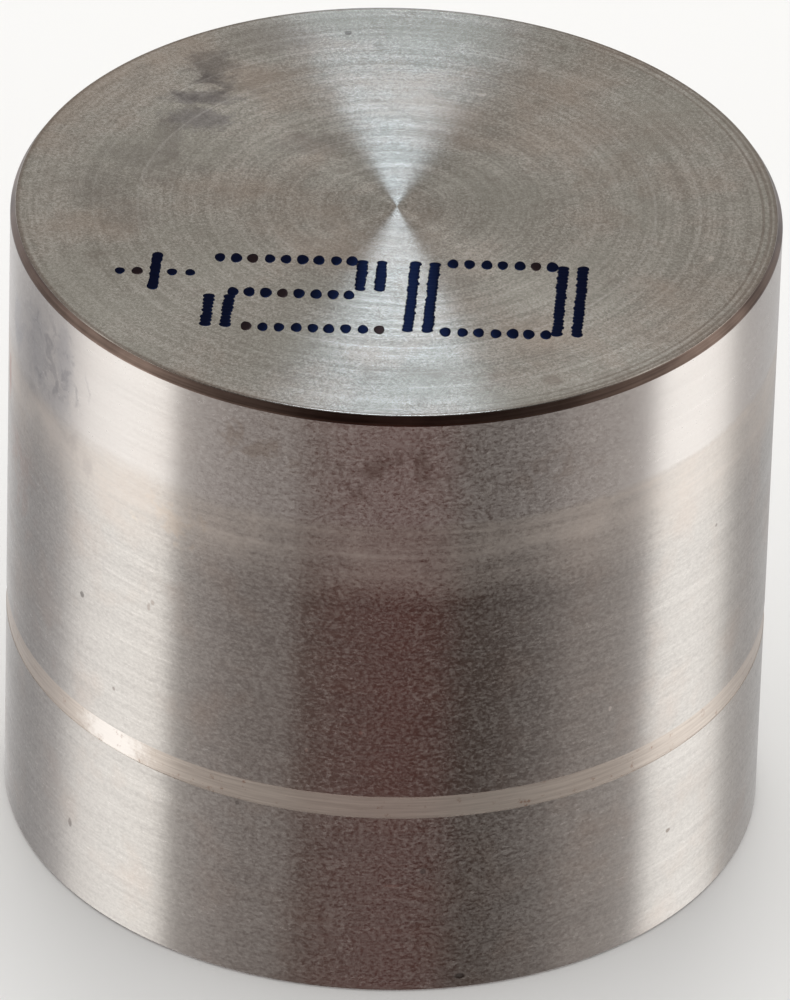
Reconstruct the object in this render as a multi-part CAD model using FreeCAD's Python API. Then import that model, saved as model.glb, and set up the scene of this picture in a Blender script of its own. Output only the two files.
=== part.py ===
import FreeCAD
import Part
import math
import os

# A valve lifter of the plain bucket kind. It is one piece of steel: a closed crown that the cam rubs on,
# a thin skirt that slides in the cylinder head, and a pad inside that the valve stem's tip bears on.
# It has no shim and no moving part. The height of the pad sets the valve clearance.
# The lifter stands on its open rim. The origin is the centre of the rim, and +Z points to the crown,
# along the axis that the lifter slides on. Sizes are in millimetres.

# Outside of the skirt, ground to slide in its bore
outer_diameter = 31.0
overall_height = 27.6

# Bevel round the crown. It is steeper than 45 degrees, so it is taller than it is wide.
crown_bevel_width = 0.22
crown_bevel_height = 0.35

# Shallow band that the grinding wheel clears, low on the skirt
relief_band_bottom = 8.5
relief_band_height = 1.03
relief_band_depth = 0.02

# Edge breaks of the open rim
rim_outer_break = 0.1
mouth_bevel_width = 0.3
mouth_bevel_height = 0.6

# Crown and the pad below it
crown_thickness = 3.0
pad_diameter = 10.0
pad_projection = 2.05
pad_edge_round = 0.3
pad_root_fillet = 0.8

# Skirt wall: thin from the mouth up, then a short cone to a stiffer wall under the crown
wall_at_mouth = 1.3
wall_gain_at_crown = 0.5
stiff_wall_length = 4.0
wall_cone_length = 2.0
crown_root_fillet = 1.6

# Heights and radii that follow from those sizes
outer_radius = outer_diameter / 2
mouth_radius = outer_radius - wall_at_mouth
upper_bore_radius = mouth_radius - wall_gain_at_crown
pad_radius = pad_diameter / 2
crown_underside = overall_height - crown_thickness
pad_face = crown_underside - pad_projection
cone_top = crown_underside - stiff_wall_length
cone_bottom = cone_top - wall_cone_length
relief_band_top = relief_band_bottom + relief_band_height
relief_band_radius = outer_radius - relief_band_depth


def inside_corners():
    """Half section from the axis at the pad, out along the crown's underside and down to the mouth.
    Each corner is its radius, its height and how far it is rounded."""
    return [
        (0, pad_face, 0),
        (pad_radius, pad_face, pad_edge_round),
        (pad_radius, crown_underside, pad_root_fillet),
        (upper_bore_radius, crown_underside, crown_root_fillet),
        (upper_bore_radius, cone_top, 0),
        (mouth_radius, cone_bottom, 0),
        (mouth_radius, mouth_bevel_height, 0),
        (mouth_radius + mouth_bevel_width, 0, 0),
    ]


def outside_corners():
    """Half section from the rim, up the ground skirt and over the bevel to the axis at the crown."""
    return [
        (outer_radius - rim_outer_break, 0, 0),
        (outer_radius, rim_outer_break, 0),
        (outer_radius, relief_band_bottom, 0),
        (relief_band_radius, relief_band_bottom, 0),
        (relief_band_radius, relief_band_top, 0),
        (outer_radius, relief_band_top, 0),
        (outer_radius, overall_height - crown_bevel_height, 0),
        (outer_radius - crown_bevel_width, overall_height, 0),
        (0, overall_height, 0),
    ]


def rounded_corner(before, corner, after, radius):
    """The two tangent points and the middle of the arc that rounds one corner of the section."""
    to_before = (before - corner).normalize()
    to_after = (after - corner).normalize()
    half_angle = to_before.getAngle(to_after) / 2
    setback = radius / math.tan(half_angle)
    to_centre = (to_before + to_after).normalize()
    middle = corner + to_centre * (radius / math.sin(half_angle) - radius)
    return corner + to_before * setback, middle, corner + to_after * setback


def section_face(corners):
    """The closed half section as a flat face in the XZ plane."""
    points = [FreeCAD.Vector(radius, 0, height) for radius, height, rounding in corners]
    edges = []
    first = points[0]
    start = first
    for index in range(1, len(corners)):
        rounding = corners[index][2]
        if rounding:
            arc_start, middle, arc_end = rounded_corner(
                points[index - 1], points[index], points[index + 1], rounding
            )
            edges.append(Part.makeLine(start, arc_start))
            edges.append(Part.Arc(arc_start, middle, arc_end).toShape())
            start = arc_end
        else:
            edges.append(Part.makeLine(start, points[index]))
            start = points[index]
    edges.append(Part.makeLine(start, first))
    return Part.Face(Part.Wire(edges))


def lifter_body():
    """The whole lifter, turned from its half section about the axis that it slides on."""
    section = section_face(inside_corners() + outside_corners())
    turned = section.revolve(FreeCAD.Vector(0, 0, 0), FreeCAD.Vector(0, 0, 1), 360)
    return Part.Solid(turned) if turned.ShapeType == "Shell" else turned


def main():
    os.makedirs("parts", exist_ok=True)
    body = lifter_body()
    body.exportStep("parts/lifter_body.step")
    print("lifter_body", body.ShapeType, "valid", body.isValid(), "volume", round(body.Volume, 1))


main()
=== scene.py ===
import math
import random

import bpy
from mathutils import Matrix, Vector


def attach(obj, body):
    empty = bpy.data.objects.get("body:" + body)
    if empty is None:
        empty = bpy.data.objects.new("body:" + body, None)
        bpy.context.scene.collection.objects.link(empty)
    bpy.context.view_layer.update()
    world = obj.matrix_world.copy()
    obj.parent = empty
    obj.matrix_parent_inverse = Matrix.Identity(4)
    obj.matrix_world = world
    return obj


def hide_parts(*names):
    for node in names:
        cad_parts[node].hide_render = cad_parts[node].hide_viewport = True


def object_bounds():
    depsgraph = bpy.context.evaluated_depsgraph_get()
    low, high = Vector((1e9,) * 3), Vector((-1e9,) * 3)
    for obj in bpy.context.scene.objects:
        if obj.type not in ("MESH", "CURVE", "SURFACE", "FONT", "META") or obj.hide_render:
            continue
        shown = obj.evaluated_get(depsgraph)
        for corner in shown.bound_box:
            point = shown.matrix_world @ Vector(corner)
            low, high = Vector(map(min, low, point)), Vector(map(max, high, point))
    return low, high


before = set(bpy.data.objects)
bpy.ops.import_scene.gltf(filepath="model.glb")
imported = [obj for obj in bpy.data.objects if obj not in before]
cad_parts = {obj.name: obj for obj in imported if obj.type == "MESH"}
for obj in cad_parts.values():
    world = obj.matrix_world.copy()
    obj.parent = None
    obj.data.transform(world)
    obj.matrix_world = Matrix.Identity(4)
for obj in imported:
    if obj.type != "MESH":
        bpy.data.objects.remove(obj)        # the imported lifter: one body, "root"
cadLow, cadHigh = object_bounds()
mm = 0.001               # Blender works in metres, and the sizes below are in millimetres
outerRadius = (cadHigh.x - cadLow.x) / 2 / mm
crownHeight = cadHigh.z / mm
inkThickness = 0.012
crownFace = crownHeight - inkThickness      # that much lower, so that the ink stays inside the part's height
print("frame loaded: lifter", round(outerRadius * 2, 2), "mm across and", round(crownHeight, 2), "mm tall")


def linear(colour):
    # sRGB hex to the linear colour that Blender's sockets take
    parts = [int(colour[i:i + 2], 16) / 255 for i in (1, 3, 5)]
    return tuple(c / 12.92 if c <= 0.04045 else ((c + 0.055) / 1.055) ** 2.4 for c in parts) + (1,)


def addNode(tree, kind, settings=None, links=None):
    # links maps an input's name or number to a value, a node's first output or any output
    node = tree.nodes.new("ShaderNode" + kind)
    for name, value in (settings or {}).items():
        setattr(node, name, value)
    for name, value in (links or {}).items():
        if isinstance(value, bpy.types.Node):
            value = value.outputs[0]
        if isinstance(value, bpy.types.NodeSocket):
            tree.links.new(value, node.inputs[name])
        else:
            node.inputs[name].default_value = value
    return node


def newMaterial(name):
    material = bpy.data.materials.new(name)
    material.use_nodes = True
    material.node_tree.nodes.clear()
    return material, material.node_tree


# the camera stands where the photo was taken
camera = {
    "elevation": 33.615,      # degrees above the table
    "roll": 1.704,            # the photo leans a little
    "distance": 528.8,        # mm, from the middle of the lifter
    "right": 0.267,           # mm that the aim is off the axis, to the right and up in the picture
    "up": -0.278,
    "aimHeight": 13.79,
    "lens": 467.9,            # mm
    "sensor": 36,
}


def makeCamera(c):
    elevation, roll = math.radians(c["elevation"]), math.radians(c["roll"])
    back = Vector((0, -math.cos(elevation), math.sin(elevation)))
    level, upright = Vector((1, 0, 0)), Vector((0, math.sin(elevation), math.cos(elevation)))
    right = level * math.cos(roll) + upright * math.sin(roll)
    up = upright * math.cos(roll) - level * math.sin(roll)
    spot = Vector((0, 0, c["aimHeight"])) + back * c["distance"] + right * c["right"] + up * c["up"]
    data = bpy.data.cameras.new("productCamera")
    data.lens, data.sensor_width = c["lens"], c["sensor"]
    data.clip_start, data.clip_end = 0.01, 20
    made = bpy.data.objects.new("productCamera", data)
    bpy.context.collection.objects.link(made)
    turn = Matrix((right, up, back)).transposed().to_4x4()
    made.matrix_world = Matrix.Translation(spot * mm) @ turn
    bpy.context.scene.camera = made


makeCamera(camera)
bpy.context.scene.view_settings.view_transform = "Standard"
print("camera placed")


# the studio, all in mm and degrees
studio = {
    "floor": "#ebeae8",           # matt pale paper
    "floorHalf": 3000,
    "floorGap": 0.02,             # just clear of the rim
    "worldLight": 1.0,
    "background": "#f5f5f5",
    "tentRadius": 900,
    "skirtPartTop": 27,           # degrees above the table, up to where the tent is toned for the skirt
    "backPartTop": 5,             # and behind the lifter, from this many degrees round it
    "backFrom": 125,
    "upperPartTop": 60,           # up to where it is toned for the crown and its bevel
    "ceiling": 0.38,              # radiance above that, with 1 as white
    "columns": 480,
}
# The lifter stands in a light tent, and only the steel mirrors it. Its lower part is toned by the upright
# line of the skirt whose grinding marks carry each direction to the camera: degrees round the skirt from the
# front (-Y) towards +X, radiance with 1 as white, colour
skirtTones = [
    (-180, 0.40, "#fffaf6"),      # behind
    (-112, 0.45, "#fffaf6"),
    (-92, 1.05, "#fbfcff"),       # pale wall on the left
    (-84, 1.10, "#fbfcff"),
    (-76, 0.72, "#fdfcff"),
    (-67, 0.49, "#fdfbff"),
    (-58, 0.68, "#fffcff"),
    (-51, 1.54, "#fffdfd"),       # left softbox, soft towards the back and crisp towards the front
    (-44, 1.80, "#fffefe"),
    (-35.3, 1.84, "#fffdfc"),
    (-32.5, 0.60, "#fff8f6"),
    (-27, 0.48, "#fff4f2"),
    (-21, 0.34, "#fff0ec"),
    (-14.5, 0.315, "#ffeeea"),
    (-12, 0.17, "#ffd2c6"),       # rosy front
    (-8, 0.18, "#ffc8bf"),
    (2, 0.165, "#ffb4ac"),
    (8, 0.15, "#ffbcb2"),
    (12, 0.105, "#ffdccf"),
    (16, 0.118, "#ffe2d8"),
    (24, 0.24, "#fff0ec"),
    (30, 0.42, "#fff2ee"),
    (37, 0.48, "#fff5f2"),
    (41.5, 0.56, "#fff8f8"),
    (45.4, 1.82, "#fffefe"),      # right softbox, crisp towards the front
    (54, 1.84, "#fffefe"),
    (59, 1.60, "#fffdfc"),
    (64, 0.72, "#fffbfa"),
    (70, 0.64, "#fffbfc"),
    (78, 0.74, "#fdfdff"),
    (86, 0.80, "#fbfcff"),        # pale wall on the right
    (94, 0.80, "#fbfcff"),
    (112, 0.45, "#fffaf6"),
    (180, 0.40, "#fffaf6"),
]
# above that, degrees round the lifter: a dark front, which the crown's bevel mirrors, and paler behind
upperTones = [
    (-180, 0.44, "#fff6ee"), (-86, 0.32, "#fff6ee"), (-62, 0.08, "#ffe6da"), (-40, 0.02, "#ffd8cc"),
    (44, 0.02, "#ffd8cc"), (70, 0.08, "#ffe6da"), (92, 0.32, "#fff6ee"), (180, 0.44, "#fff6ee"),
]
# two strips high at the sides, which draw faint arms through the crown's centre: degrees of the arm on the
# crown from the right, half its width, radiance
arms = [(49, 6, 1.1), (139, 5, 0.8)]
# The overhead softbox draws the two bright fans on the crown, and only the steel mirrors it. A weaker lamp
# beside it lights the paper.
overhead = {
    "height": 600,
    "front": 265,                 # y of its edges
    "back": 420,
    "colour": "#dcedfe",
    "glow": 17.5,
    "leftFan": 21.0,              # degrees off the Y axis at the fans' edges
    "rightFan": 15.8,
    "soft": 0.36,                 # the share that fades on the left
    "lampHalfWidth": 90,
    "lampFront": 130,
    "lampBack": 350,
    "lampGlow": 7.0,
}


def glowMesh(name, rows, glows, sampled=False, forPaper=False):
    # rows of points in mm, and the linear colour of each point
    wide = len(rows[0])
    faces = [(i * wide + k, (i + 1) * wide + k, (i + 1) * wide + k + 1, i * wide + k + 1)
             for i in range(len(rows) - 1) for k in range(wide - 1)]
    mesh = bpy.data.meshes.new(name)
    mesh.from_pydata([Vector(point) * mm for row in rows for point in row], [], faces)
    values = [value for row in glows for colour in row for value in (*colour, 1)]
    mesh.attributes.new("glow", "FLOAT_COLOR", "POINT").data.foreach_set("color", values)
    material, tree = newMaterial(name + "Glow")
    glow = addNode(tree, "Attribute", {"attribute_name": "glow"})
    light = addNode(tree, "Emission", None, {"Color": glow.outputs["Color"], "Strength": 1.0})
    addNode(tree, "OutputMaterial", None, {"Surface": light})
    if not sampled:
        material.cycles.emission_sampling = "NONE"     # the steel's own rays find it, which is quicker
    mesh.materials.append(material)
    made = bpy.data.objects.new(name, mesh)
    bpy.context.collection.objects.link(made)
    made.visible_camera = False
    made.visible_shadow = False
    made.visible_diffuse = forPaper
    made.visible_glossy = not forPaper


def toneAt(tones, degrees):
    for (before, low, lowColour), (after, high, highColour) in zip(tones, tones[1:]):
        if degrees <= after:
            share = (degrees - before) / (after - before)
            return [low * a * (1 - share) + high * b * share
                    for a, b in zip(linear(lowColour)[:3], linear(highColour)[:3])]
    return [tones[-1][1] * a for a in linear(tones[-1][2])[:3]]


def hangTent(s):
    level = math.cos(math.radians(camera["elevation"]))
    # degrees above the table, with edges where the toning changes
    heights = [-88, -80, -72, -64, -56, -48, -40, -34, -28, -22, -16, -10, -5, 0, 5, 10, 15, 20, 24,
               s["skirtPartTop"], s["skirtPartTop"] + 4, 36, 42, 48, 54, 60, 64, 72, 80, 88]
    rows, glows = [], []
    for i in range(s["columns"] + 1):
        around = -180 + i * 360 / s["columns"]
        turn = math.radians(around)
        row, glow = [], []
        for height in heights:
            lift = math.radians(height)
            across, ahead = math.cos(lift) * math.sin(turn), math.cos(lift) * math.cos(turn)
            row.append((across * s["tentRadius"], -ahead * s["tentRadius"], math.sin(lift) * s["tentRadius"]))
            if height <= (s["skirtPartTop"] if abs(around) < s["backFrom"] else s["backPartTop"]):
                glow.append(toneAt(skirtTones, math.degrees(math.atan2(across, level + ahead))))
            elif height <= s["upperPartTop"]:
                tone = toneAt(upperTones, around)
                crownAngle = math.degrees(math.atan2(level + ahead, across))
                for middle, half, strength in arms:
                    extra = strength * max(0, 1 - (abs(crownAngle - middle) / half) ** 2)
                    tone = [part + extra for part in tone]
                glow.append(tone)
            else:
                glow.append([s["ceiling"]] * 3)
        rows.append(row)
        glows.append(glow)
    glowMesh("lightTent", rows, glows)


def hangOverhead(o, columns=24, depths=12):
    # each point of the softbox lights the crown's marks along one line through the centre, at this slope
    level = math.cos(math.radians(camera["elevation"]))
    left, right = math.tan(math.radians(o["leftFan"])), math.tan(math.radians(o["rightFan"]))
    rows, glows = [], []
    for i in range(columns + 1):
        share = i / columns
        slope = right * share - left * (1 - share)
        row = []
        for k in range(depths + 1):
            y = o["front"] + (o["back"] - o["front"]) * k / depths
            row.append((slope * (level * math.hypot(y, o["height"]) - y), y, o["height"]))
        rows.append(row)
        fade = o["glow"] * min(1, share / o["soft"])
        glows.append([[fade * part for part in linear(o["colour"])[:3]]] * len(row))
    glowMesh("overheadSoftbox", rows, glows, True)
    half = o["lampHalfWidth"]
    rows = [[(x, y, o["height"]) for y in (o["lampFront"], o["lampBack"])] for x in (-half, half)]
    glowMesh("paperLamp", rows, [[[o["lampGlow"]] * 3] * 2] * 2, True, True)


def makeFloor(s):
    material, tree = newMaterial("mattPaperFloor")
    paper = addNode(tree, "BsdfDiffuse", None, {"Color": linear(s["floor"])})
    under = addNode(tree, "NewGeometry").outputs["Backfacing"]      # from below it is clear
    paper = addNode(tree, "MixShader", None, {0: under, 1: paper, 2: addNode(tree, "BsdfTransparent")})
    addNode(tree, "OutputMaterial", None, {"Surface": paper})
    half, low = s["floorHalf"] * mm, -s["floorGap"] * mm
    mesh = bpy.data.meshes.new("floor")
    corners = [(-half, -half, low), (half, -half, low), (half, half, low), (-half, half, low)]
    mesh.from_pydata(corners, [], [(0, 1, 2, 3)])
    mesh.materials.append(material)
    floor = bpy.data.objects.new("floor", mesh)
    bpy.context.collection.objects.link(floor)
    floor.visible_glossy = False      # the tent goes on below it, so the skirt looks the same down to its rim


def makeWorld(s):
    world = bpy.data.worlds.new("paleRoom")
    world.use_nodes = True
    tree = world.node_tree
    tree.nodes.clear()
    ray = addNode(tree, "LightPath")
    seen = addNode(tree, "Math", {"operation": "MAXIMUM"},
                   {0: ray.outputs["Is Camera Ray"], 1: ray.outputs["Is Glossy Ray"]})
    seen = addNode(tree, "Math", {"operation": "MAXIMUM"}, {0: seen, 1: ray.outputs["Is Transmission Ray"]})
    light = addNode(tree, "Background", None, {"Color": (1, 1, 1, 1), "Strength": s["worldLight"]})
    shown = addNode(tree, "Background", None, {"Color": linear(s["background"]), "Strength": 1.0})
    both = addNode(tree, "MixShader", None, {0: seen, 1: light, 2: shown})
    addNode(tree, "OutputWorld", None, {"Surface": both})
    bpy.context.scene.world = world


makeFloor(studio)
makeWorld(studio)
hangTent(studio)
hangOverhead(overhead)
print("studio set")


def pickPlaces(tree):
    # a point's place in mm, that place without its height, its distance from the axis, its height and how far
    # to the right it is
    spot = addNode(tree, "TexCoord")
    place = addNode(tree, "VectorMath", {"operation": "SCALE"}, {0: spot.outputs["Object"], "Scale": 1 / mm})
    flat = addNode(tree, "VectorMath", {"operation": "MULTIPLY"}, {0: place, 1: (1, 1, 0)})
    radius = addNode(tree, "VectorMath", {"operation": "LENGTH"}, {0: flat}).outputs["Value"]
    parts = addNode(tree, "SeparateXYZ", None, {0: place})
    return {"place": place, "flat": flat, "radius": radius, "height": parts.outputs["Z"],
            "side": parts.outputs["X"]}


def layMarks(tree, at, across, pitch, length, detail=3.0):
    # marks of a round cut: pitch apart across it, by radius or by height, and about length long round the
    # axis, both in mm
    along = addNode(tree, "VectorMath", {"operation": "SCALE"}, {0: at["flat"], "Scale": 1 / length})
    step = addNode(tree, "Math", {"operation": "DIVIDE"}, {0: at[across], 1: pitch})
    step = addNode(tree, "CombineXYZ", None, {"Z": step})
    spot = addNode(tree, "VectorMath", {"operation": "ADD"}, {0: along, 1: step})
    return addNode(tree, "TexNoise", None, {"Vector": spot, "Scale": 1.0, "Detail": detail, "Roughness": 0.6})


def farFrom(tree, at, centre, size):
    # how far the place is from centre, with 1 at the edge of an oval of that size
    away = addNode(tree, "VectorMath", {"operation": "SUBTRACT"}, {0: at["place"], 1: centre})
    away = addNode(tree, "VectorMath", {"operation": "DIVIDE"}, {0: away, 1: size})
    return addNode(tree, "VectorMath", {"operation": "LENGTH"}, {0: away}).outputs["Value"]


def layOver(tree, colour, strength, tint, texture, start, end):
    # tint laid over colour: none where the texture is at start, and strength of it at end, with soft ends
    cover = addNode(tree, "MapRange", {"interpolation_type": "SMOOTHSTEP"}, {
        0: texture, 1: start, 2: end, 3: 0.0, 4: strength})
    return addNode(tree, "Mix", {"data_type": "RGBA"}, {0: cover, 6: colour, 7: linear(tint)}).outputs[2]


def addMark(tree, at, ragged, colour, mark):
    # a stain, smudge or speck
    centre, size, tint, strength = mark
    away = addNode(tree, "Math", {"operation": "ADD"}, {0: farFrom(tree, at, centre, size), 1: ragged})
    soft = 0.25 if min(size) < 0.3 else 0.55        # specks are crisper
    return layOver(tree, colour, strength, tint, away, 1 + soft, 1 - soft)


def addMottle(tree, at, colour, flecks, patch):
    # flecks of a film, dense in the middle of a patch and thinning out to its edge
    centre, size, tint, strength = patch
    away = farFrom(tree, at, centre, size)
    thin = addNode(tree, "MapRange", None, {0: away, 1: 1.05, 2: 0.2, 3: -0.4, 4: 0.0})
    flecks = addNode(tree, "Math", {"operation": "ADD"}, {0: flecks, 1: thin})
    return layOver(tree, colour, strength, tint, flecks, 0.4, 0.62)


def finishSteel(tree, anisotropy, links):
    # the round marks spread each light across them
    lay = addNode(tree, "Tangent", {"direction_type": "RADIAL", "axis": "Z"})
    steel = addNode(tree, "BsdfPrincipled", None, {
        **links, "Anisotropic": anisotropy, "Anisotropic Rotation": 0.25, "Tangent": lay})
    addNode(tree, "OutputMaterial", None, {"Surface": steel})


def roundSpot(degrees, height):
    # a place on the skirt, degrees round it from the front
    turn = math.radians(degrees)
    return (outerRadius * math.sin(turn), -outerRadius * math.cos(turn), height)


crown = {
    "deep": "#a19e97",            # darker rings
    "tints": [                    # texture, where the tint starts, where it is full, strength, colour
        ("mixed", 1.2, 1.9, 1.0, "#cdcbc5"),      # lighter rings
        ("film", 0.52, 0.36, 0.5, "#b0b1a9"),     # thin oil film, greener in some parts and browner in others
        ("film", 0.48, 0.66, 0.5, "#bcaea2"),
        ("dirt", 0.56, 0.74, 0.5, "#8d857d"),
    ],
    "middleShade": 0.86,          # painted shade: the cut is closer in the middle and mirrors less there, so the colour is darkened towards the middle, out to this radius
    "middleShadeEnd": 8.0,
    "anisotropy": 1.0,
    "middleRoughness": 0.224,
    "edgeRoughness": 0.172,
    "edgeRadius": 14.0,           # where it is reached
    "roughnessChange": 0.01,      # up and down from those
    "raggedness": 0.45,           # how far the edges of stains wander
    "grainShare": 1.5,            # of the grain and the wide rings, mixed with the fine rings
    "wideRingShare": 0.6,
    "wideRingRelief": 1.5,
    "haze": 0.03,                 # share dulled by thin film, which scatters light
    "grainHaze": 0.26,            # and how far the grain varies it
    "ringPitch": 0.24,            # the tool moved on about 0.1 mm a turn, drawn coarser so that it shows
    "ringLength": 9.0,
    "wideRingPitch": 0.9,
    "wideRingLength": 30.0,
    "ringHeight": 0.0016,         # mm
    "noises": [                   # name, size in mm, octaves, roughness, swirl
        ("grain", 0.0909, 1.0, 0.7, 0.0),     # lapping marks near 0.02 mm, drawn coarser so that they show
        ("film", 5.882, 4.0, 0.6, 0.0),
        ("dirt", 1.613, 5.0, 0.65, 0.0),
        ("edges", 0.625, 4.0, 0.7, 0.0),
        ("fine", 1.1, 3.0, 0.6, 0.7),         # these two give flecks about 0.55 and 1 mm long
        ("coarse", 2.0, 3.0, 0.6, 0.7),
    ],
    "rings": [                    # radius, half width, colour, strength, whether it shows on the right only
        (3.15, 0.035, "#dededa", 0.1, False),
        (5.3, 0.04, "#dededa", 0.1, False),
        (6.6, 0.04, "#e2e2de", 0.12, False),
        (9.1, 0.045, "#e4e4e0", 0.13, False),
        (10.4, 0.05, "#e8e8e6", 0.17, False),
        (12.2, 0.045, "#e4e4e0", 0.13, False),
        (13.4, 0.04, "#dededa", 0.1, False),
        (14.72, 0.05, "#75655a", 0.4, True),
        (15.02, 0.06, "#75655a", 0.45, True),
        (15.24, 0.09, "#75655a", 0.5, False),
    ],
    "stains": [                   # x, y, width, depth, colour, strength
        (-7.7, 10.3, 0.9, 1.2, "#6f6a68", 0.6),
        (-8.1, 7.8, 1.3, 0.5, "#6d6a70", 0.55),
        (-8.2, 6.2, 1.2, 0.8, "#716e76", 0.5),
        (-3.6, 4.6, 1.3, 0.8, "#8b8581", 0.4),
        (-10.5, 3.3, 1.5, 1.0, "#8f8b87", 0.35),
        (-12.0, 0.7, 1.2, 1.6, "#8d8a85", 0.4),
        (-10.7, -1.3, 1.1, 1.0, "#938e89", 0.35),
        (-5.2, 12.6, 1.8, 1.0, "#99938e", 0.35),
        (-9.3, 4.9, 0.5, 1.3, "#86817e", 0.35),
        (9.5, 6.4, 2.6, 1.6, "#a0958b", 0.3),
        (6.3, -12.4, 0.4, 0.3, "#8a7c72", 0.4),
        (12.6, -3.2, 0.12, 0.2, "#e2ddd6", 0.6),
        (3.3, 8.7, 0.2, 0.12, "#e2ddd6", 0.5),
        (-2.2, 13.2, 0.14, 0.14, "#4c4441", 0.6),
    ],
    "films": [                    # x, y, width, depth, fleck, colour, strength
        (-8.0, 8.6, 3.0, 4.0, "fine", "#625d5e", 0.6),
        (-9.5, 2.0, 3.2, 5.0, "coarse", "#85807c", 0.35),
        (9.0, 2.0, 5.0, 9.0, "coarse", "#a3978b", 0.3),
        (2.0, -12.5, 6.0, 2.0, "coarse", "#9b9189", 0.3),
    ],
}


def turnedCrown(c):
    # Case-hardened steel, faced on a lathe and lapped by use. Its round marks spread each light into a fan
    # through the centre, and the oil film tints it in patches.
    material, tree = newMaterial("faceTurnedSteelCrown")
    at = pickPlaces(tree)
    noise = {}
    for name, size, octaves, rough, swirl in c["noises"]:
        noise[name] = addNode(tree, "TexNoise", None, {
            "Vector": at["place"], "Scale": 1 / size, "Detail": octaves, "Roughness": rough,
            "Distortion": swirl})
    rings = layMarks(tree, at, "radius", c["ringPitch"], c["ringLength"])
    wideRings = layMarks(tree, at, "radius", c["wideRingPitch"], c["wideRingLength"], 2.0)
    ragged = addNode(tree, "MapRange", None, {
        0: noise["edges"], 1: 0.3, 2: 0.7, 3: -c["raggedness"], 4: c["raggedness"]})
    mixed = addNode(tree, "Math", {"operation": "MULTIPLY_ADD"}, {
        0: noise["grain"], 1: c["grainShare"], 2: rings})
    mixed = addNode(tree, "Math", {"operation": "MULTIPLY_ADD"}, {
        0: wideRings, 1: c["wideRingShare"], 2: mixed})
    noise["mixed"] = mixed
    colour = linear(c["deep"])
    for texture, start, full, strength, tint in c["tints"]:
        cover = addNode(tree, "MapRange", None, {0: noise[texture], 1: start, 2: full, 3: 0.0, 4: strength})
        colour = addNode(tree, "Mix", {"data_type": "RGBA"}, {
            0: cover, 6: colour, 7: linear(tint)}).outputs[2]
    for x, y, width, depth, tint, strength in c["stains"]:
        colour = addMark(tree, at, ragged, colour, ((x, y, crownFace), (width, depth, 5), tint, strength))
    for x, y, width, depth, fleck, tint, strength in c["films"]:
        patch = ((x, y, crownFace), (width, depth, 5), tint, strength)
        colour = addMottle(tree, at, colour, noise[fleck], patch)
    # painted shade: darker towards the middle, standing in for the weaker reflection of the closer cut there
    shade = addNode(tree, "MapRange", None, {
        0: at["radius"], 1: 1.0, 2: c["middleShadeEnd"], 3: c["middleShade"], 4: 1.0})
    colour = addNode(tree, "VectorMath", {"operation": "SCALE"}, {0: colour, "Scale": shade})
    # single rings: a few that the tool left bright, two thin brown ones, and one where the crown meets its
    # bevel
    right = addNode(tree, "MapRange", None, {0: at["side"], 1: 3.0, 2: 9.0})
    for ringRadius, halfWidth, tint, strength, rightOnly in c["rings"]:
        off = addNode(tree, "Math", {"operation": "SUBTRACT"}, {0: at["radius"], 1: ringRadius})
        off = addNode(tree, "Math", {"operation": "ABSOLUTE"}, {0: off})
        cover = addNode(tree, "MapRange", None, {
            0: off, 1: halfWidth * 1.6, 2: halfWidth * 0.6, 3: 0.0, 4: strength})
        if rightOnly:
            cover = addNode(tree, "Math", {"operation": "MULTIPLY"}, {0: cover, 1: right})
        colour = addNode(tree, "Mix", {"data_type": "RGBA"}, {
            0: cover, 6: colour, 7: linear(tint)}).outputs[2]
    roughness = addNode(tree, "MapRange", None, {
        0: at["radius"], 1: 0.0, 2: c["edgeRadius"], 3: c["middleRoughness"], 4: c["edgeRoughness"]})
    change = addNode(tree, "MapRange", None, {
        0: mixed, 1: 1.15, 2: 1.95, 3: -c["roughnessChange"], 4: c["roughnessChange"]})
    roughness = addNode(tree, "Math", {"operation": "ADD"}, {0: roughness, 1: change})
    cut = addNode(tree, "Math", {"operation": "MULTIPLY_ADD"}, {
        0: wideRings, 1: c["wideRingRelief"], 2: rings})
    relief = addNode(tree, "Bump", None, {"Strength": 1.0, "Distance": c["ringHeight"] * mm, "Height": cut})
    metal = 1.0 - c["haze"]
    bare = addNode(tree, "MapRange", None, {
        0: noise["grain"], 1: 0.2, 2: 0.8, 3: metal + c["grainHaze"] / 2, 4: metal - c["grainHaze"] / 2})
    finishSteel(tree, c["anisotropy"], {
        "Base Color": colour, "Metallic": bare, "Roughness": roughness, "Normal": relief})
    return material


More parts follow.
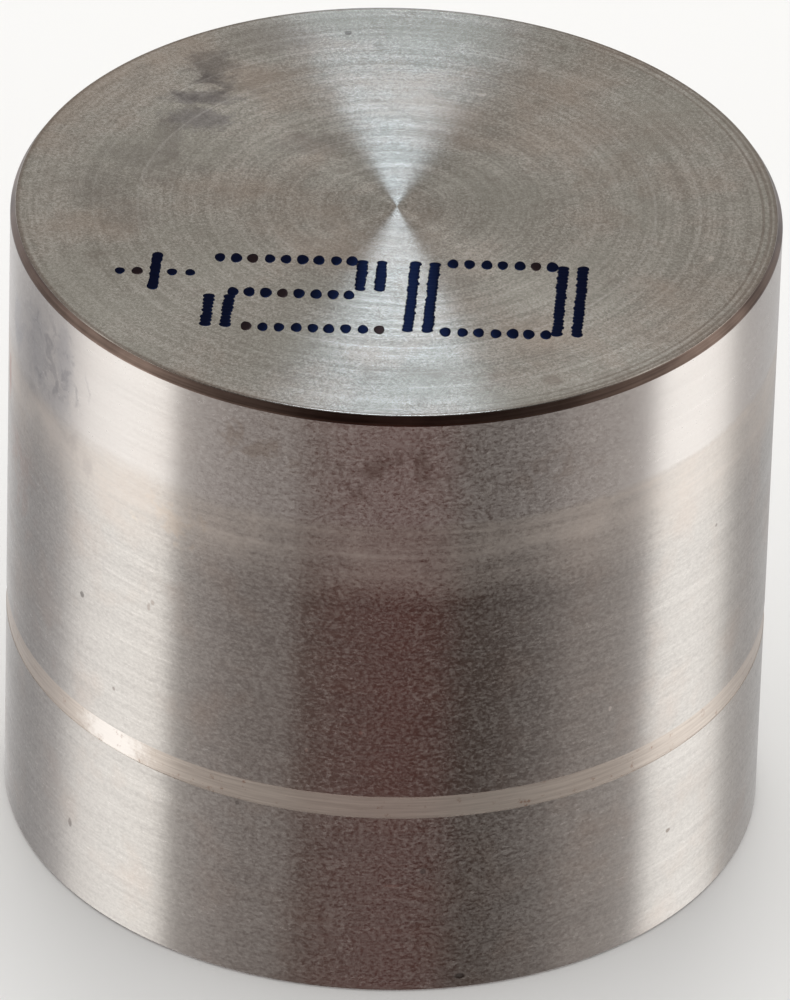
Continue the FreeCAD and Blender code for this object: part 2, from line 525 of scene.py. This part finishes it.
skirt = {
    "pale": "#c0bcb6",            # lighter and darker grinding marks
    "deep": "#ada9a4",
    "warm": "#b9a89b",            # tinted patches
    "roughness": 0.32,
    "roughnessChange": 0.05,
    "anisotropy": 1.0,
    "markPitch": 0.13,            # the wheel's grit left marks near 0.02 mm, drawn coarser so that they show
    "markLength": 5.0,
    "markHeight": 0.0012,
    "beltPitch": 1.4,             # wide faint belts, and the streaks of the polished one
    "beltLength": 14.0,
    "streakPitch": 0.3,
    "streakLength": 11.0,
    "grainShare": 1.3,            # of the grain, the marks and the wide belts, mixed to tone the steel
    "markShare": 0.7,
    "beltShare": 0.4,
    "mixedLow": 0.85,             # the mix runs from here, darkest and dullest, to here
    "mixedHigh": 1.55,
    "raggedness": 0.4,            # how far the edges of smudges wander
    "warmShare": 0.35,            # most of the tint in its patches
    "wear": "#cdc4bb",            # belt polished by the bore
    "wearShare": 0.9,
    "wearTop": 22.67,             # heights: its upper end, and where it is full on the right and on the left
    "wearTopRight": 22.37,
    "wearTopLeft": 21.87,
    "leftSide": -9.0,
    "wearWander": 0.25,           # how far that end wanders
    "wearFull": 21.0,             # from here it fades down to its lower end
    "wearBottom": 18.7,
    "streakFloor": 0.62,          # least share of it in its streaks and patches
    "patchFloor": 0.6,
    "wearGrain": 0.4,             # share of the grain left in it
    "top": "#cbc6c1",             # cleaner above the belt
    "topShare": 0.8,
    "haze": 0.05,                 # share of the surface dulled by thin film, which scatters light
    "topHaze": 0.1,               # more of it above the belt, in it and below the recess
    "wearHaze": 0.26,
    "lowHaze": 0.045,
    "grainHaze": 0.7,             # and how far the grain varies it
    "grainTall": 0.1176,          # mm, the single marks of the grit, drawn coarser in the same way
    "grainLong": 0.196,
    "noises": [                   # name, size in mm, octaves, roughness, swirl
        ("blur", 2.857, 4.0, 0.6, 0.0),
        ("edges", 0.769, 4.0, 0.7, 0.0),
        ("fine", 0.8, 3.0, 0.6, 0.7),         # these two give flecks about 0.4 and 1.1 mm long
        ("coarse", 2.2, 3.0, 0.6, 0.7),
    ],
    "marks": [                    # degrees, height, width, height of the mark, colour, strength
        (-66, 24.6, 1.0, 1.8, "#97979b", 0.35),
        (-57, 25.2, 0.6, 1.6, "#97979b", 0.35),
        (-71.0, 23.6, 1.3, 2.4, "#918d8e", 0.22),
        (-60, 23.0, 1.2, 0.6, "#9c9c9f", 0.25),
        (-51.5, 14.9, 0.13, 0.13, "#3c3532", 0.6),
        (-37.3, 16.2, 0.09, 0.2, "#8a7d75", 0.5),
        (-36.6, 16.5, 0.1, 0.12, "#8a7d75", 0.5),
        (6.8, 5.9, 0.12, 0.12, "#4c4542", 0.5),
        (12.8, 0.6, 0.2, 0.12, "#2c2624", 0.6),
        (-53.8, 3.4, 0.13, 0.18, "#5c524d", 0.55),
        (-21.5, 8.3, 0.1, 0.12, "#483f3c", 0.45),
        (49.0, 4.6, 0.14, 0.1, "#75695f", 0.7),
        (-82.0, 20.4, 0.3, 0.9, "#a8705e", 0.55),
        (58.0, 18.2, 0.1, 0.1, "#6d635e", 0.6),
        (-44.0, 11.4, 0.08, 0.08, "#746a64", 0.6),
        (36.0, 12.1, 0.08, 0.12, "#e8e0d8", 0.6),
        (-3.0, 12.6, 0.08, 0.08, "#f0e6de", 0.6),
        (-11.0, 11.5, 0.07, 0.1, "#f0e6de", 0.6),
        (2.2, 5.2, 0.3, 0.06, "#d8c8be", 0.5),
    ],
    "films": [                    # degrees, height, width, height of the patch, fleck, colour, strength
        (1.0, 25.0, 5.4, 3.0, "fine", "#7d675c", 0.5),
        (-20.0, 25.6, 4.0, 2.0, "fine", "#a39487", 0.5),
        (-60.0, 24.6, 4.8, 3.6, "fine", "#858386", 0.45),
        (-72.0, 17.0, 5.0, 6.0, "coarse", "#b7a49a", 0.5),
        (-74.0, 23.5, 2.6, 3.6, "coarse", "#a5a5a9", 0.45),
        (-53.0, 21.6, 2.4, 2.4, "coarse", "#aaa39e", 0.5),
        (-64.0, 11.5, 3.6, 4.0, "coarse", "#b4a9a2", 0.45),
        (-40.0, 19.8, 2.4, 1.4, "coarse", "#d9cab6", 0.6),
        (-60.0, 5.0, 3.0, 4.0, "coarse", "#b5aea8", 0.4),
        (24.0, 24.5, 5.0, 2.4, "fine", "#a2948a", 0.4),
        (-33.0, 21.0, 3.0, 2.4, "fine", "#c9bcae", 0.6),
    ],
}


def groundSkirt(s):
    # Case-hardened steel, centreless ground. The marks run round it, so each light stands on it as an upright
    # band, with a fine grain inside, and the bore has polished a warmer belt.
    material, tree = newMaterial("centrelessGroundSteelSkirt")
    at = pickPlaces(tree)
    noise = {}
    for name, size, octaves, rough, swirl in s["noises"]:
        noise[name] = addNode(tree, "TexNoise", None, {
            "Vector": at["place"], "Scale": 1 / size, "Detail": octaves, "Roughness": rough,
            "Distortion": swirl})
    grit = addNode(tree, "VectorMath", {"operation": "DIVIDE"}, {
        0: at["place"], 1: (s["grainLong"], s["grainLong"], s["grainTall"])})
    grain = addNode(tree, "TexNoise", None, {"Vector": grit, "Scale": 1.0, "Detail": 2.0, "Roughness": 0.85})
    ragged = addNode(tree, "MapRange", None, {
        0: noise["edges"], 1: 0.3, 2: 0.7, 3: -s["raggedness"], 4: s["raggedness"]})
    marks = layMarks(tree, at, "height", s["markPitch"], s["markLength"], 2.0)
    belts = layMarks(tree, at, "height", s["beltPitch"], s["beltLength"])
    belts = addNode(tree, "MapRange", None, {0: belts, 1: 0.0, 2: 1.0, 3: 0.0, 4: s["beltShare"]})
    cut = addNode(tree, "Math", {"operation": "MULTIPLY_ADD"}, {0: marks, 1: s["markShare"], 2: belts})
    mixed = addNode(tree, "Math", {"operation": "MULTIPLY_ADD"}, {0: grain, 1: s["grainShare"], 2: cut})
    # the belt that the bore has polished, and what lies above it
    end = addNode(tree, "MapRange", None, {
        0: at["side"], 1: 0.0, 2: s["leftSide"], 3: s["wearTopRight"], 4: s["wearTopLeft"]})
    edge = addNode(tree, "Math", {"operation": "MULTIPLY_ADD"}, {
        0: ragged, 1: s["wearWander"], 2: at["height"]})
    top = addNode(tree, "MapRange", None, {0: edge, 1: s["wearTop"], 2: end})
    above = addNode(tree, "Math", {"operation": "SUBTRACT"}, {0: 1.0, 1: top})
    wear = addNode(tree, "MapRange", None, {
        0: at["height"], 1: s["wearBottom"], 2: s["wearFull"], 3: 0.0, 4: s["wearShare"]})
    streaks = layMarks(tree, at, "height", s["streakPitch"], s["streakLength"])
    streaks = addNode(tree, "MapRange", None, {0: streaks, 1: 0.35, 2: 0.62, 3: s["streakFloor"], 4: 1.0})
    patches = addNode(tree, "MapRange", None, {
        0: noise["blur"], 1: 0.38, 2: 0.6, 3: s["patchFloor"], 4: 1.0})
    for part in (top, streaks, patches):
        wear = addNode(tree, "Math", {"operation": "MULTIPLY"}, {0: wear, 1: part})
    lighter = addNode(tree, "MapRange", None, {0: mixed, 1: s["mixedLow"], 2: s["mixedHigh"]})
    warm = addNode(tree, "MapRange", None, {
        0: noise["blur"], 1: 0.5, 2: 0.75, 3: 0.0, 4: s["warmShare"]})
    cleaner = addNode(tree, "Math", {"operation": "MULTIPLY"}, {0: above, 1: s["topShare"]})
    colour = linear(s["deep"])
    for cover, tint in ((lighter, "pale"), (warm, "warm"), (cleaner, "top"), (wear, "wear")):
        colour = addNode(tree, "Mix", {"data_type": "RGBA"}, {
            0: cover, 6: colour, 7: linear(s[tint])}).outputs[2]
    for degrees, lift, width, tall, tint, strength in s["marks"]:
        mark = (roundSpot(degrees, lift), (width, width, tall), tint, strength)
        colour = addMark(tree, at, ragged, colour, mark)
    for degrees, lift, width, tall, fleck, tint, strength in s["films"]:
        patch = (roundSpot(degrees, lift), (width, width, tall), tint, strength)
        colour = addMottle(tree, at, colour, noise[fleck], patch)
    roughness = addNode(tree, "MapRange", None, {
        0: mixed, 1: s["mixedLow"], 2: s["mixedHigh"],
        3: s["roughness"] + s["roughnessChange"], 4: s["roughness"] - s["roughnessChange"]})
    roughness = addNode(tree, "Math", {"operation": "MULTIPLY_ADD"}, {
        0: wear, 1: s["roughnessChange"], 2: roughness})
    # the film that scatters light, and its grain, which the polish has mostly taken from the belt
    lowTop = lifter["reliefBottom"]
    low = addNode(tree, "MapRange", None, {
        0: at["height"], 1: lowTop + 0.1, 2: lowTop - 0.1, 3: s["haze"], 4: s["haze"] + s["lowHaze"]})
    haze = addNode(tree, "Math", {"operation": "MULTIPLY_ADD"}, {0: above, 1: s["topHaze"], 2: low})
    haze = addNode(tree, "Math", {"operation": "MULTIPLY_ADD"}, {0: wear, 1: s["wearHaze"], 2: haze})
    speckle = addNode(tree, "MapRange", None, {
        0: grain, 1: 0.0, 2: 1.0, 3: -s["grainHaze"] / 2, 4: s["grainHaze"] / 2})
    calm = addNode(tree, "MapRange", None, {0: wear, 1: 0.0, 2: 1.0, 3: 1.0, 4: s["wearGrain"]})
    haze = addNode(tree, "Math", {"operation": "MULTIPLY_ADD"}, {0: speckle, 1: calm, 2: haze})
    bare = addNode(tree, "Math", {"operation": "SUBTRACT", "use_clamp": True}, {0: 1.0, 1: haze})
    relief = addNode(tree, "Bump", None, {"Strength": 1.0, "Distance": s["markHeight"] * mm, "Height": cut})
    finishSteel(tree, s["anisotropy"], {
        "Base Color": colour, "Metallic": bare, "Roughness": roughness, "Normal": relief})
    return material


recess = {
    "pale": "#cdc3b8",
    "deep": "#b4a99f",
    "speckle": "#8a5f45",
    "roughness": 0.38,
    "anisotropy": 0.95,
    "haze": 0.34,
    "markPitch": 0.1,
    "markLength": 3.0,
    "spotSize": 0.3846,           # mm
    "spotShare": 0.7,
    "patch": "#efeae4",           # rubbed bright
    # painted highlight: a near-white patch for the sparkle where the left softbox shines on the recess
    "paintedSparkleDegrees": -44,
    "paintedSparkleHeight": 9.0,
    "paintedSparkleSize": (1.5, 1.5, 1.0),
    "paintedSparkleStrength": 0.7,
}


def turnedRecess(r):
    # The shallow band round the skirt was turned before hardening and never ground, so it is duller, holds a
    # tan film and shows paler than the ground steel.
    material, tree = newMaterial("turnedSteelRecess")
    at = pickPlaces(tree)
    marks = layMarks(tree, at, "height", r["markPitch"], r["markLength"])
    spots = addNode(tree, "TexNoise", None, {
        "Vector": at["place"], "Scale": 1 / r["spotSize"], "Detail": 5.0, "Roughness": 0.7})
    lighter = addNode(tree, "MapRange", None, {0: marks, 1: 0.3, 2: 0.7})
    colour = addNode(tree, "Mix", {"data_type": "RGBA"}, {
        0: lighter, 6: linear(r["deep"]), 7: linear(r["pale"])}).outputs[2]
    ragged = addNode(tree, "MapRange", None, {0: spots, 1: 0.3, 2: 0.7, 3: -0.4, 4: 0.4})
    # painted highlight: the near-white patch lies where the left softbox's band crosses the recess
    patch = (roundSpot(r["paintedSparkleDegrees"], r["paintedSparkleHeight"]), r["paintedSparkleSize"], r["patch"], r["paintedSparkleStrength"])
    colour = addMark(tree, at, ragged, colour, patch)
    cover = addNode(tree, "MapRange", None, {0: spots, 1: 0.6, 2: 0.72, 3: 0.0, 4: r["spotShare"]})
    colour = addNode(tree, "Mix", {"data_type": "RGBA"}, {
        0: cover, 6: colour, 7: linear(r["speckle"])}).outputs[2]
    finishSteel(tree, r["anisotropy"], {
        "Base Color": colour, "Metallic": 1.0 - r["haze"], "Roughness": r["roughness"]})
    return material


bevelFinish = {
    "pale": "#7b6a60", "deep": "#52453e", "roughness": 0.34, "anisotropy": 0.3,
    "markPitch": 0.08, "markLength": 6.0, "markHeight": 0.001, "filmSize": 2.0,
}
rimFinish = {
    "pale": "#c3beb8", "deep": "#9b9691", "roughness": 0.3, "anisotropy": 0.9,
    "markPitch": 0.15, "markLength": 6.0, "markHeight": 0.001, "filmSize": 2.0,
}
padFinish = {
    "pale": "#cac6c1", "deep": "#a39f9a", "roughness": 0.26, "anisotropy": 0.9,
    "markPitch": 0.2, "markLength": 5.0, "markHeight": 0.001, "filmSize": 2.0,
}
insideFinish = {
    "pale": "#c2bcb5", "deep": "#9a948e", "roughness": 0.44, "anisotropy": 0.5,
    "markPitch": 0.35, "markLength": 9.0, "markHeight": 0.001, "filmSize": 2.0,
}


def cutSteel(name, f, across):
    # Plain turned, ground or formed steel with its round marks. The bevels come out brown and dark, the rim
    # and the pad bright, and the inside dull.
    material, tree = newMaterial(name)
    at = pickPlaces(tree)
    marks = layMarks(tree, at, across, f["markPitch"], f["markLength"])
    film = addNode(tree, "TexNoise", None, {"Vector": at["place"], "Scale": 1 / f["filmSize"], "Detail": 4.0})
    mixed = addNode(tree, "Math", {"operation": "ADD"}, {0: marks, 1: film})
    lighter = addNode(tree, "MapRange", None, {0: mixed, 1: 0.75, 2: 1.25})
    colour = addNode(tree, "Mix", {"data_type": "RGBA"}, {
        0: lighter, 6: linear(f["deep"]), 7: linear(f["pale"])}).outputs[2]
    relief = addNode(tree, "Bump", None, {"Strength": 1.0, "Distance": f["markHeight"] * mm, "Height": marks})
    finishSteel(tree, f["anisotropy"], {
        "Base Color": colour, "Metallic": 1.0, "Roughness": f["roughness"], "Normal": relief})
    return material


# the lifter itself, in mm
lifter = {
    "around": 384,                # faces round the lifter
    "crownBevelWidth": 0.22,
    "crownBevelHeight": 0.35,
    "reliefBottom": 8.5,
    "reliefHeight": 1.03,
    "reliefDepth": 0.02,
    "rimBreak": 0.1,
    "mouthBevelWidth": 0.3,
    "mouthBevelHeight": 0.6,
    "crownThickness": 3.0,
    "padRadius": 5.0,
    "padProjection": 2.05,
    "mouthWall": 1.3,
    "crownWall": 1.8,
    "stiffWallLength": 4.0,
    "wallConeLength": 2.0,
    "crownRounding": 0.07,        # roundings, from the crown's edge round to the pad's
    "bevelRounding": 0.16,
    "reliefRounding": 0.008,
    "skirtRounding": 0.04,
    "rimRounding": 0.03,
    "mouthRounding": 0.05,
    "mouthBevelRounding": 0.08,
    "wallRounding": 0.5,
    "crownFillet": 1.6,
    "padFillet": 0.8,
    "padRounding": 0.3,
}


def lifterCorners(p):
    # half section, from the crown's middle to the pad's: radius, height, rounding, finish of the next stretch
    mouth, upper = outerRadius - p["mouthWall"], outerRadius - p["crownWall"]
    web = crownHeight - p["crownThickness"]
    coneTop = web - p["stiffWallLength"]
    coneBottom = coneTop - p["wallConeLength"]
    reliefTop = p["reliefBottom"] + p["reliefHeight"]
    reliefRadius = outerRadius - p["reliefDepth"]
    return [
        (0, crownFace, 0, "crown"),
        (outerRadius - p["crownBevelWidth"], crownFace, p["crownRounding"], "bevel"),
        (outerRadius, crownHeight - p["crownBevelHeight"], p["bevelRounding"], "skirt"),
        (outerRadius, reliefTop, p["reliefRounding"], "relief"),
        (reliefRadius, reliefTop, p["reliefRounding"], "relief"),
        (reliefRadius, p["reliefBottom"], p["reliefRounding"], "relief"),
        (outerRadius, p["reliefBottom"], p["reliefRounding"], "skirt"),
        (outerRadius, p["rimBreak"], p["skirtRounding"], "bevel"),
        (outerRadius - p["rimBreak"], 0, p["rimRounding"], "rim"),
        (mouth + p["mouthBevelWidth"], 0, p["mouthRounding"], "bevel"),
        (mouth, p["mouthBevelHeight"], p["mouthBevelRounding"], "inside"),
        (mouth, coneBottom, p["wallRounding"], "inside"),
        (upper, coneTop, p["wallRounding"], "inside"),
        (upper, web, p["crownFillet"], "inside"),
        (p["padRadius"], web, p["padFillet"], "inside"),
        (p["padRadius"], web - p["padProjection"], p["padRounding"], "pad"),
        (0, web - p["padProjection"], 0, "pad"),
    ]


def roundedSection(corners):
    # points with their normals: (radius, height, normal, finish of the next stretch)
    section = []
    for i, (radius, height, rounding, finish) in enumerate(corners):
        here = Vector((radius, height))
        if i in (0, len(corners) - 1):
            other = corners[1] if i == 0 else corners[-2]
            run = (Vector(other[:2]) - here) * (1 if i == 0 else -1)
            run.normalize()
            section.append((radius, height, Vector((-run.y, run.x)), finish))
            continue
        arriving = (here - Vector(corners[i - 1][:2])).normalized()
        leaving = (Vector(corners[i + 1][:2]) - here).normalized()
        turn = arriving.angle_signed(leaving)            # clockwise is positive
        setback = rounding * math.tan(abs(turn) / 2)
        side = 1 if turn > 0 else -1
        normalIn = Vector((-arriving.y, arriving.x))
        centre = here - arriving * setback - normalIn * rounding * side
        steps = 3 if rounding < 0.02 else max(4, round(abs(turn) * 6))
        for k in range(steps + 1):
            angle = -turn * k / steps
            normal = Vector((normalIn.x * math.cos(angle) - normalIn.y * math.sin(angle),
                             normalIn.x * math.sin(angle) + normalIn.y * math.cos(angle)))
            at = centre + normal * rounding * side
            section.append((at.x, at.y, normal, finish if k == steps else corners[i - 1][3]))
    return section


def makeLifter(p, finishes):
    section = roundedSection(lifterCorners(p))
    names = list(finishes)
    points, normals, faces, kinds = [], [], [], []
    rings = []
    for radius, height, normal, finish in section:
        if radius < 1e-6:
            rings.append([len(points)])
            points.append((0, 0, height))
            normals.append((0, 0, normal.y))
            continue
        ring = []
        for k in range(p["around"]):
            turn = 2 * math.pi * k / p["around"]
            ring.append(len(points))
            points.append((radius * math.cos(turn), radius * math.sin(turn), height))
            normals.append((normal.x * math.cos(turn), normal.x * math.sin(turn), normal.y))
        rings.append(ring)
    for i in range(len(rings) - 1):
        upper, lower, kind = rings[i], rings[i + 1], names.index(section[i][3])
        for k in range(p["around"]):
            n = (k + 1) % p["around"]
            if len(upper) == 1:
                faces.append((upper[0], lower[k], lower[n]))
            elif len(lower) == 1:
                faces.append((upper[k], lower[0], upper[n]))
            else:
                faces.append((upper[k], lower[k], lower[n], upper[n]))
            kinds.append(kind)
    mesh = bpy.data.meshes.new("lifterSteel")
    mesh.from_pydata([Vector(q) * mm for q in points], [], faces)
    for name in names:
        mesh.materials.append(finishes[name])
    mesh.polygons.foreach_set("material_index", kinds)
    mesh.polygons.foreach_set("use_smooth", [True] * len(faces))
    mesh.normals_split_custom_set_from_vertices(normals)
    made = bpy.data.objects.new("lifterSteel", mesh)
    bpy.context.collection.objects.link(made)
    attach(made, "root")
    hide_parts("lifter_body")
    return made


steelPiece = makeLifter(lifter, {
    "crown": turnedCrown(crown),
    "bevel": cutSteel("turnedSteelBevel", bevelFinish, "height"),
    "skirt": groundSkirt(skirt),
    "relief": turnedRecess(recess),
    "rim": cutSteel("groundSteelRim", rimFinish, "radius"),
    "inside": cutSteel("coldFormedSteelInside", insideFinish, "height"),
    "pad": cutSteel("groundSteelPad", padFinish, "radius"),
})
print("lifter turned:", len(steelPiece.data.polygons), "faces")


# the ink marking, a plain number
marking = {
    "ink": "#08122b",             # dark blue ink
    "glance": "#93a2ba",          # and what it mirrors at a slant
    "agedInk": "#2e2220",         # drops that have browned
    "agedShare": 0.12,            # of the single drops in the digits
    "metallic": 0.86,
    "roughness": 0.34,
    "anisotropy": 0.9,
    "dotHalfWidth": 0.23,         # mm, a single drop
    "dotHalfDepth": 0.35,
    "dotPitch": 0.66,
    "barHalfWidth": 0.235,        # drops that run into each other up a bar
    "barHalfDepth": 0.2,
    "barPitch": 0.24,
    "barGap": 0.78,               # between the two bars of an upright stroke
    "lean": 0.05,                 # mm to the right for each mm up the digit
    "jitter": 0.02,
    "sizeSpread": 0.08,           # share by which the drops differ
    "thinnest": 0.86,             # share of the ink's thickness
    "wobble": 0.04,               # how far a drop is from a true oval
    # half section of a drop, as shares of its size and thickness: it starts just under the crown's face, has
    # a rounded shoulder and is flat on top
    "section": ((1.0, -0.15), (0.95, 0.55), (0.8, 0.9), (0.45, 1.0)),
    "top": -4.15,                 # y of the digits' top and bottom rows
    "bottom": -9.15,
    "plusX": -9.6,                # upright of the plus sign, a column of drops
    "plusTop": -4.2,
    "plusPitch": 0.22,
    "plusDrops": 11,
    "plusHalfWidth": 0.22,
    "plusHalfDepth": 0.3,
    "armX": (-11.0, -10.3, -8.9, -8.2),       # its arms, single drops
    "armY": -5.35,
    "armHalfDepth": 0.27,
    "armAgedShare": 0.5,
    "seed": 20,
}


def inkDrops(m):
    # drops as (x, y, half width, half depth, chance of having aged)
    middle = (m["top"] + m["bottom"]) / 2
    drops = []

    def across(x, y, count):
        for i in range(count):
            drops.append((x + i * m["dotPitch"], y, m["dotHalfWidth"], m["dotHalfDepth"], m["agedShare"]))

    def upright(x, high, low):
        steps = max(2, round((high - low) / m["barPitch"]))
        for bar in (0, m["barGap"]):
            for i in range(steps + 1):
                y = high + (low - high) * i / steps
                drops.append((x + bar, y, m["barHalfWidth"], m["barHalfDepth"], 0))

    # plus sign
    for i in range(m["plusDrops"]):
        y = m["plusTop"] - i * m["plusPitch"]
        drops.append((m["plusX"], y, m["plusHalfWidth"], m["plusHalfDepth"], 0))
    for x in m["armX"]:
        drops.append((x, m["armY"], m["plusHalfWidth"], m["armHalfDepth"], m["armAgedShare"]))
    # two
    across(-7.1, m["top"], 9)
    upright(-1.4, m["top"] - 0.1, middle + 0.5)
    across(-6.4, middle, 8)
    upright(-7.3, middle - 0.4, m["bottom"] + 0.1)
    across(-5.7, m["bottom"], 9)
    # nought
    upright(0.7, m["top"] - 0.1, m["bottom"] + 0.1)
    across(2.2, m["top"], 7)
    across(2.2, m["bottom"], 7)
    upright(6.6, m["top"] - 0.1, m["bottom"] + 0.1)
    return drops


def markingInk(m):
    # Dye-based ink from a drop printer, dried to a thin film. The steel's round marks show through, so it is
    # navy in the dark parts and bluer where the crown is bright.
    material, tree = newMaterial("driedPrinterInk")
    spot = addNode(tree, "TexCoord")
    age = addNode(tree, "Attribute", {"attribute_name": "age"})
    colour = addNode(tree, "Mix", {"data_type": "RGBA"}, {
        0: age.outputs["Fac"], 6: linear(m["ink"]), 7: linear(m["agedInk"])}).outputs[2]
    lay = addNode(tree, "VectorMath", {"operation": "CROSS_PRODUCT"}, {
        0: (0, 0, 1), 1: spot.outputs["Object"]})
    lay = addNode(tree, "VectorMath", {"operation": "NORMALIZE"}, {0: lay})
    ink = addNode(tree, "BsdfPrincipled", None, {
        "Base Color": colour, "Metallic": m["metallic"], "Roughness": m["roughness"],
        "Anisotropic": m["anisotropy"], "Anisotropic Rotation": 0.25, "Tangent": lay,
        "Specular Tint": linear(m["glance"])})
    addNode(tree, "OutputMaterial", None, {"Surface": ink})
    return material


def printMarking(m, around=18):
    chance = random.Random(m["seed"])
    points, faces, ages = [], [], []
    middle = (m["top"] + m["bottom"]) / 2
    for x, y, halfWidth, halfDepth, agedShare in inkDrops(m):
        x += (y - middle) * m["lean"] + chance.uniform(-1, 1) * m["jitter"]
        y += chance.uniform(-1, 1) * m["jitter"]
        size = 1 + chance.uniform(-1, 1) * m["sizeSpread"]
        age = float(chance.random() < agedShare)
        top = inkThickness * chance.uniform(m["thinnest"], 1.0)
        first = len(points)
        for share, lift in m["section"]:
            for k in range(around):
                turn = 2 * math.pi * k / around
                reach = size * share * (1 + m["wobble"] * math.sin(3 * turn + first))
                points.append((x + halfWidth * reach * math.cos(turn),
                               y + halfDepth * reach * math.sin(turn),
                               crownFace + top * lift))
        low = first
        for high in range(first + around, len(points), around):
            for k in range(around):
                n = (k + 1) % around
                faces.append((low + k, low + n, high + n, high + k))
            low = high
        faces.append(tuple(low + k for k in range(around)))
        ages += [age] * (len(points) - first)
    mesh = bpy.data.meshes.new("inkMarking")
    mesh.from_pydata([Vector(q) * mm for q in points], [], faces)
    mesh.attributes.new("age", "FLOAT", "POINT").data.foreach_set("value", ages)
    mesh.materials.append(markingInk(m))
    mesh.polygons.foreach_set("use_smooth", [True] * len(faces))
    made = bpy.data.objects.new("inkMarking", mesh)
    bpy.context.collection.objects.link(made)
    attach(made, "root")
    return made


inkPiece = printMarking(marking)
print("marking printed:", len(inkPiece.data.polygons), "faces")
